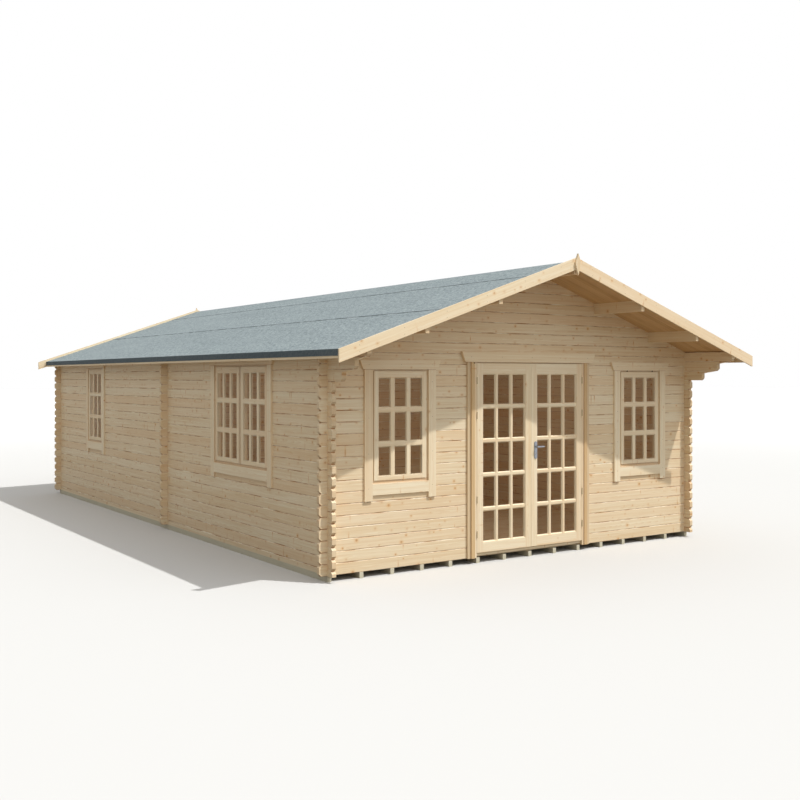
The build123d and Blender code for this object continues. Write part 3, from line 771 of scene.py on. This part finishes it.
# %% Finish the window sashes
frame_painted_shade = opaque((184, 144, 104))
sash_edge = 0.0005
for name, node, depth_axis, fields, sheet in (
    ("front_sash_timber", "front_window_frames", 1, front_fields, front_sheet),
    ("side_sash_timber", "side_window_frames", 0, side_fields, side_sheet),
):
    material, shader, start = new_finish(name)
    place, facing = solid_place(start)
    into = place[depth_axis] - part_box(node)[0][depth_axis]
    rails = glazed_field(sheet[0].z, sheet[1].z)
    along = 1 - depth_axis
    colour = joinery(
        shader, place[along], place[2], into, facing[along], facing[2], fields, rails, sash_rows, sash_bar,
        700.0 + 50.0 * along)
    sash = place[2].between(rails[0] - sash_rails[0] - sash_edge, rails[1] + sash_rails[1] + sash_edge)
    inside = place[2] * 0.0
    for low, high in fields:
        inside = inside + place[along].between(low - sash_stile - sash_edge, high + sash_stile + sash_edge)
    under_sash = (place[2] * -1.0).over(sash_rails[0] - rails[0])
    # Painted shade on the frame round the sash, deeper under its foot.
    repaint(shader, colour, (1.0 - sash * inside) * (0.30 + under_sash * 0.25), frame_painted_shade)
    dress(material, node)

# %% [markdown]
# ## Bearers
# The bearers lie on the ground and keep the floor dry. They are treated softwood, greyer and rougher than
# the walls, with more of the saw left in them.

# %% Finish the bearers
pale_bearer = opaque((222, 214, 190))
grey_bearer = opaque((180, 172, 146))
bearer_pitch = 0.35
material, shader, start = new_finish("treated_timber")
(x, y, z), _ = solid_place(start)
number = math.floor(x / bearer_pitch + 0.5)
streaks = fibre(y, x, z, number)
stain = x.noise(y * 3.0, x * 8.0, z * 12.0, 3.0)
share = clamped((streaks - 0.5) * 0.8 + stain * 0.6 + (floor_underside - z) * 3.0)
connect(share.paint(pale_bearer, grey_bearer), shader, "Base Color")
connect(0.7 + streaks * 0.2, shader, "Roughness")
connect(x.node("Bump", {}, {"Strength": 0.6, "Distance": 0.001, "Height": streaks}), shader, "Normal")
dress(material, "bearers")

# %% [markdown]
# ## Roof felt
# Shed felt is bitumen on a polyester mat, with crushed slate pressed into its top. The chips are a few
# millimetres wide and lie in clusters, so the colour comes from Voronoi cells and noise of several sizes.
# Where the felt folds down over the eaves, the faces that look sideways are darker, towards bitumen.

# %% Finish the felt
slate_light = opaque((154, 165, 166))
slate_dark = opaque((89, 102, 106))
lap_painted_highlight = opaque((214, 224, 226))
bitumen = opaque((58, 70, 76))
chip_size = 0.004
laps_and_strengths = ((1.570, 0.45), (0.490, 0.05))
material, shader, start = new_finish("slate_felt")
(x, y, z), facing = solid_place(start)
chips = {"Vector": x.place(x, y, z), "Scale": 1.0 / chip_size, "Randomness": 1.0}
chip_tone = x.node("TexVoronoi", {"feature": "F1"}, chips, "Color").parts()[0]
drift = x.noise(x * 3.0, y * 0.7, z * 3.0, 3.0)
clusters = x.noise(x * 34.0, y * 26.0, z * 34.0, 3.0, 0.85)
share = clamped(chip_tone * 0.40 + (drift - 0.5) * 0.35 + (clusters - 0.5) * 3.2 + 0.21)
colour = share.paint(slate_light, slate_dark)
# Along each lap, dashes of bitumen alternate with a painted highlight on the lap's edge.
dashes = x.noise(y * 4.0, 0.0, 0.0, 2.0).step(0.42, 0.56)
for place, strength in laps_and_strengths:
    lap_line = abs(abs(x) - place - 0.004).step(0.012, 0.004)
    colour = (lap_line * (1.0 - dashes) * 0.4).paint(colour, lap_painted_highlight)
    colour = (lap_line * dashes * strength).paint(colour, bitumen)
folded = facing[0].step(0.7, 0.9)
colour = (folded * (0.70 + 0.25 * drift)).paint(colour, bitumen)
connect(colour, shader, "Base Color")
connect(0.82 + chip_tone * 0.12, shader, "Roughness")
relief = chip_tone + clusters * 2.0
connect(x.node("Bump", {}, {"Strength": 0.7, "Distance": 0.0015, "Height": relief}), shader, "Normal")
dress(material, "roof_felt_left", "roof_felt_right", "ridge_felt")

# %% [markdown]
# ## Glass
# A pane is so thin that it barely bends the view, so it can be a clear sheet with a weak mirror on top.
# Fresnel says how strong the mirror is: weak straight on, strong at a slant. Only faces that look towards
# the viewer mirror, because the back of a sheet would else mirror the sheet's own inside.

# %% Finish the glass
material, shader, start = new_finish("window_glass")
tree = material.node_tree
tree.nodes.remove(shader)
towards_viewer = 1.0 - start.node("NewGeometry", {}, {}, "Backfacing")
mirror = start.node("Fresnel", {}, {"IOR": 1.45}) * towards_viewer * 0.12
clear = start.node("BsdfTransparent", {}, {"Color": (0.97, 0.965, 0.955, 1.0)})
gloss = start.node("BsdfGlossy", {}, {"Color": (1.0, 1.0, 1.0, 1.0), "Roughness": 0.03})
pane = start.node("MixShader", {}, {0: mirror, 1: clear, 2: gloss})
tree.links.new(pane.socket, tree.nodes["Material Output"].inputs["Surface"])
dress(material, "left_door_glass", "right_door_glass", "front_window_glass", "side_window_glass")

# %% [markdown]
# ## Metal
# The hinges and the nails are plated, the handle is brushed, and the pins under the lintels are dark. All
# are metal with fine scratches: long ones along the handle's plate, short ones all ways on the others.

# %% Finish the metal
metals = {}
hinges = ("left_door_hinges", "right_door_hinges", "frame_hinges")
for name, members, light, dark, stretch, roughness in (
    ("plated_steel", hinges, (208, 190, 154), (152, 130, 98), 1.0, 0.45),
    ("dark_steel", (), (78, 66, 54), (40, 34, 30), 1.0, 0.50),
    ("brushed_steel", ("handle_plate", "door_lever"), (172, 176, 182), (116, 120, 128), 0.08, 0.30),
):
    material, shader, start = new_finish(name)
    (x, y, z), _ = solid_place(start)
    scratches = x.noise(x * 1500.0, y * 1500.0, z * 1500.0 * stretch, 2.0, 0.6)
    wear = x.noise(x * 60.0, y * 60.0, z * 60.0, 2.0)
    connect((scratches * 0.6 + wear * 0.4).paint(opaque(light), opaque(dark)), shader, "Base Color")
    connect(roughness + scratches * 0.2, shader, "Roughness")
    connect(x.node("Bump", {}, {"Strength": 0.2, "Distance": 0.0001, "Height": scratches}), shader, "Normal")
    shader.inputs["Metallic"].default_value = 1.0
    dress(material, *members)
    metals[name] = material

# %% [markdown]
# ## Glazing beads
# Each pane is held by slim beads pinned into its opening. A bead's face slopes down to the glass, so it
# throws a line of light along the bars. A ring of four mitred beads is one closed profile carried round the
# pane's four corners.


# %% Make the bead rings
x_axis, y_axis, z_axis = Vector((1.0, 0.0, 0.0)), Vector((0.0, 1.0, 0.0)), Vector((0.0, 0.0, 1.0))


def bead_profile(width, depth):
    """Points of a bead's section: how far in from the opening's edge, and how far out from the glass."""
    return [
        (0.0, 0.0), (width, 0.0), (width, depth * 0.15), (width * 0.90, depth * 0.30),
        (width * 0.20, depth * 0.96), (width * 0.08, depth), (0.0, depth)]


def add_bead_ring(mesh, middle, half_level, half_height, section, level_axis, outward):
    """Adds the beads round one pane. Outward points away from the glass."""
    rows = []
    for turn_level, turn_height in ((-1, -1), (1, -1), (1, 1), (-1, 1)):
        row = []
        for inset, rise in bead_profile(*section):
            point = middle + level_axis * turn_level * (half_level - inset)
            point = point + z_axis * turn_height * (half_height - inset) + outward * rise
            row.append(mesh.verts.new(point))
        rows.append(row)
    for k in range(4):
        row, following = rows[k], rows[(k + 1) % 4]
        for j in range(len(row)):
            after = (j + 1) % len(row)
            mesh.faces.new((row[j], row[after], following[after], following[j]))


def new_piece(name, mesh, material, body):
    """Makes an object from a bmesh, gives it a finish and lets it ride on a body."""
    bmesh.ops.recalc_face_normals(mesh, faces=mesh.faces)
    data = bpy.data.meshes.new(name)
    mesh.to_mesh(data)
    mesh.free()
    data.materials.append(material)
    piece = bpy.data.objects.new(name, data)
    scene.collection.objects.link(piece)
    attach(piece, body)
    print(name, "has", len(data.polygons), "faces")


# %% [markdown]
# The beads are short and slim, so their finish can be simple: the same fine upright streaks on all of them.

# %% Finish for the beads
bead_timber, shader, start = new_finish("bead_timber")
(x, y, z), _ = solid_place(start)
streaks = fibre(z, x + y, x - y, math.floor(x * 3.0))
connect(clamped((streaks - 0.5) * 0.9 + 0.35).paint(*planed_spruce), shader, "Base Color")
connect(0.5 + streaks * 0.2, shader, "Roughness")
connect(x.node("Bump", {}, {"Strength": 0.3, "Distance": 0.0005, "Height": streaks}), shader, "Normal")

# %% Fit the beads to the door leaves and the windows
door_beads = ((0.012, 0.013), (0.012, 0.013))
sash_beads = ((0.003, 0.004), (0.009, 0.012))


def fit_beads(name, sheet, fields, rows, bar, sections, level_axis, face_axis, body):
    """Beads on both sides of all panes of some glazed fields."""
    mesh = bmesh.new()
    foot, head = glazed_field(sheet[0].z, sheet[1].z)
    glass_faces = [corner.dot(face_axis) for corner in sheet]
    for low, high in fields:
        pane_width = pane_size(low, high, pane_columns, bar)
        pane_height = pane_size(foot, head, rows, bar)
        for column in range(pane_columns):
            for row in range(rows):
                level = low + pane_width / 2 + column * (pane_width + bar)
                height = foot + pane_height / 2 + row * (pane_height + bar)
                for side, glass_face, section in zip((-1, 1), glass_faces, sections):
                    middle = level_axis * level + z_axis * height + face_axis * glass_face
                    add_bead_ring(
                        mesh, middle, pane_width / 2, pane_height / 2, section, level_axis, face_axis * side)
    new_piece(name, mesh, bead_timber, body)


for hand in ("left", "right"):
    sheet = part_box(f"{hand}_door_glass")
    fields = [glazed_field(sheet[0].x, sheet[1].x)]
    fit_beads(
        f"{hand}_leaf_beads", sheet, fields, door_rows, door_bar, door_beads, x_axis, y_axis, f"{hand}_leaf")
fit_beads(
    "front_window_beads", front_sheet, front_fields, sash_rows, sash_bar, sash_beads, x_axis, y_axis, "cabin")
fit_beads(
    "side_window_beads", side_sheet, side_fields, sash_rows, sash_bar, sash_beads, y_axis, x_axis, "cabin")

# %% [markdown]
# ## Draught strips
# A double door needs play to swing, and strips keep the wind out of that play. A slim one closes the
# meeting gap from the right leaf's edge, and others fill the gaps at the jambs and the head. The jamb strips
# stop short of each hinge. The sashes are fixed, so theirs fill the whole gap in rings like the beads.

# %% Fit the draught strips
strip_clearance = 0.0013
strip_inset = 0.003
meeting_inset = 0.001
meeting_play = 0.0020
hinge_play = 0.005
sash_strip = (sash_gap, 0.008)
sash_strip_back = 0.010
hinge_heights = (0.191, 0.553, 1.434, 1.798)
hinge_half = 0.060


def add_strip(mesh, start, end, across, width, rise):
    """A strip from start to end with chamfered edges. Across and rise are vectors of its section."""
    chamfer = 0.15
    half = across * (width / 2)
    section = [
        half * -1.0, half * -1.0 + rise * (1.0 - chamfer), half * -(1.0 - chamfer) + rise,
        half * (1.0 - chamfer) + rise, half + rise * (1.0 - chamfer), half]
    near = [mesh.verts.new(start + point) for point in section]
    far = [mesh.verts.new(end + point) for point in section]
    for k in range(len(section)):
        after = (k + 1) % len(section)
        mesh.faces.new((near[k], near[after], far[after], far[k]))
    mesh.faces.new(near)
    mesh.faces.new(far[::-1])


for name, node, sheet, fields, level_axis, face_axis in (
    ("front_sash_strips", "front_window_frames", front_sheet, front_fields, x_axis, y_axis),
    ("side_sash_strips", "side_window_frames", side_sheet, side_fields, y_axis, x_axis),
):
    low, high = glazed_field(sheet[0].z, sheet[1].z)
    low, high = low - sash_rails[0] - sash_gap, high + sash_rails[1] + sash_gap
    frame_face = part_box(node)[0].dot(face_axis) + sash_proud
    mesh = bmesh.new()
    for field_low, field_high in fields:
        middle = level_axis * ((field_low + field_high) / 2) + z_axis * ((low + high) / 2)
        middle = middle + face_axis * (frame_face + sash_strip_back)
        half = (field_high - field_low) / 2 + sash_stile + sash_gap
        add_bead_ring(mesh, middle, half, (high - low) / 2, sash_strip, level_axis, -face_axis)
    new_piece(name, mesh, bead_timber, "cabin")

left_leaf_box, right_leaf_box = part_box("left_door_leaf"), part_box("right_door_leaf")
meeting_gap = right_leaf_box[0].x - left_leaf_box[1].x
mesh = bmesh.new()
strip_width = 0.020
strip_place = left_leaf_box[0].y + meeting_inset + strip_width / 2
base = Vector((right_leaf_box[0].x, strip_place, right_leaf_box[0].z))
top = Vector((right_leaf_box[0].x, strip_place, right_leaf_box[1].z))
add_strip(mesh, base, top, y_axis, strip_width, x_axis * -(meeting_gap - meeting_play))
new_piece("meeting_strip", mesh, bead_timber, "right_leaf")

mesh = bmesh.new()
strip_width = 0.030
strip_place = left_leaf_box[0].y + strip_inset + strip_width / 2
leaf_base, leaf_top = right_leaf_box[0].z, right_leaf_box[1].z
breaks = [leaf_base, *[leaf_base + h for h in hinge_heights], leaf_top]
for side in (-1.0, 1.0):
    jamb_face = side * (right_leaf_box[1].x + hinge_play)
    for k in range(len(breaks) - 1):
        low = breaks[k] + (hinge_half if k > 0 else 0.0)
        high = breaks[k + 1] - (hinge_half if k < len(breaks) - 2 else 0.0)
        add_strip(
            mesh, Vector((jamb_face, strip_place, low)), Vector((jamb_face, strip_place, high)), y_axis,
            strip_width, x_axis * (-side * (hinge_play - strip_clearance)))
head_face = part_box("door_head")[0].z
add_strip(
    mesh, Vector((-right_leaf_box[1].x, strip_place, head_face)),
    Vector((right_leaf_box[1].x, strip_place, head_face)), y_axis, strip_width,
    z_axis * -(head_face - leaf_top - strip_clearance))
new_piece("frame_strips", mesh, bead_timber, "cabin")

# %% [markdown]
# ## Nails and screws
# Each board is fixed with a few round-headed nails. One low dome with a soft rim serves for them all, and
# also for the screws of the handle's plate and for the wider dark pins under the lintels.

# %% Fit the nails and screws
dome_sides = 10
nail = (0.0035, 0.001)
door_pin = (0.007, 0.003)
window_pin = (0.009, 0.004)
plate_screw = (0.0042, 0.0014)
plate_screw_inset = 0.014
leg_shift = 0.38
leg_step_back = 0.006
leg_nail_heights = (0.86, 1.20, 1.55, 1.90)
lintel_nails = 5
lintel_nail_inset = 0.12
barge_nails = 6
barge_nail_start = 0.22
barge_nail_pitch = 0.48
barge_nail_drops = (0.035, 0.095)
window_pin_shift = 0.211


def add_dome(mesh, x, y, z, radius, rise):
    """A low round head that stands out to the front from a surface at this place."""
    centre = Vector((x, y, z))
    turn = (-y_axis).to_track_quat("Z", "Y")
    rings = [(radius, 0.0), (radius * 0.92, rise * 0.55), (radius * 0.60, rise * 0.92)]
    rows = []
    for ring_radius, height in rings:
        rows.append([
            mesh.verts.new(centre + turn @ Vector((
                ring_radius * math.cos(2 * math.pi * k / dome_sides),
                ring_radius * math.sin(2 * math.pi * k / dome_sides), height)))
            for k in range(dome_sides)])
    crown = mesh.verts.new(centre + turn @ Vector((0.0, 0.0, rise)))
    for lower, upper in zip(rows, rows[1:]):
        for k in range(dome_sides):
            after = (k + 1) % dome_sides
            mesh.faces.new((lower[k], lower[after], upper[after], upper[k]))
    for k in range(dome_sides):
        mesh.faces.new((rows[-1][k], rows[-1][(k + 1) % dome_sides], crown))
    mesh.faces.new(rows[0][::-1])


mesh = bmesh.new()
casing_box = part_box("front_window_casings")
window_lintel_base = casing_box[1].z - casing_lintel
sash_middles = [(low + high) / 2 for low, high in front_fields]
for middle in sash_middles:
    for shift in (-leg_shift, 0.0, leg_shift):
        add_dome(mesh, middle + shift, casing_box[0].y, casing_box[1].z - casing_lintel / 2, *nail)
    for shift in (-leg_shift, leg_shift):
        for height in leg_nail_heights:
            add_dome(mesh, middle + shift, casing_box[0].y + leg_step_back, height, *nail)
lintel_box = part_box("door_lintel")
for k in range(lintel_nails):
    spread = lintel_box[1].x - lintel_box[0].x - 2 * lintel_nail_inset
    place = lintel_box[0].x + lintel_nail_inset + k * spread / (lintel_nails - 1)
    add_dome(mesh, place, lintel_box[0].y, (lintel_box[0].z + lintel_box[1].z) / 2, *nail)
barge_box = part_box("front_barge_right")
for side in (-1.0, 1.0):
    for k in range(barge_nails):
        place = barge_nail_start + k * barge_nail_pitch
        line = barge_box[1].z - place * math.tan(roof_pitch)
        for drop in barge_nail_drops:
            add_dome(mesh, side * place, barge_box[0].y, line - drop, *nail)
new_piece("wire_nails", mesh, metals["plated_steel"], "cabin")

mesh = bmesh.new()
left_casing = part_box("door_casing_left")
add_dome(mesh, left_casing[1].x - 0.008, left_casing[0].y, lintel_base - 0.010, *door_pin)
for shift in (-window_pin_shift, window_pin_shift):
    height = window_lintel_base - window_pin[0]
    add_dome(mesh, sash_middles[1] + shift, front_face - sash_proud, height, *window_pin)
new_piece("dark_pins", mesh, metals["dark_steel"], "cabin")

mesh = bmesh.new()
plate_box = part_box("handle_plate")
plate_middle = (plate_box[0].x + plate_box[1].x) / 2
for height in (plate_box[0].z + plate_screw_inset, plate_box[1].z - plate_screw_inset):
    add_dome(mesh, plate_middle, plate_box[0].y, height, *plate_screw)
new_piece("plate_screws", mesh, metals["brushed_steel"], "right_leaf")

# %% [markdown]
# ## Floor of the studio
# The cabin stands on a plain pale floor that runs far back and turns white in the distance, so that only
# its shadow tells where the ground is. For light that bounces, the floor is as dull as paving, and for the
# camera it is pale.

# %% Lay the studio floor
floor_reach = 140.0
material, shader, start = new_finish("studio_floor")
(x, y, z), _ = solid_place(start)
distance = (x * x + y * y) ** 0.5
near_tone = opaque((212, 211, 208))
far_tone = opaque((232, 232, 232))
dull_tone = opaque((130, 127, 120))
pale = distance.step(9.0, 40.0).paint(near_tone, far_tone)
connect(seen_directly(start).paint(dull_tone, pale), shader, "Base Color")
shader.inputs["Roughness"].default_value = 1.0
shader.inputs["Specular IOR Level"].default_value = 0.0
mesh = bmesh.new()
bmesh.ops.create_grid(mesh, x_segments=2, y_segments=2, size=floor_reach)
data = bpy.data.meshes.new("studio_floor")
mesh.to_mesh(data)
mesh.free()
data.materials.append(material)
studio_floor = bpy.data.objects.new("studio_floor", data)
scene.collection.objects.link(studio_floor)
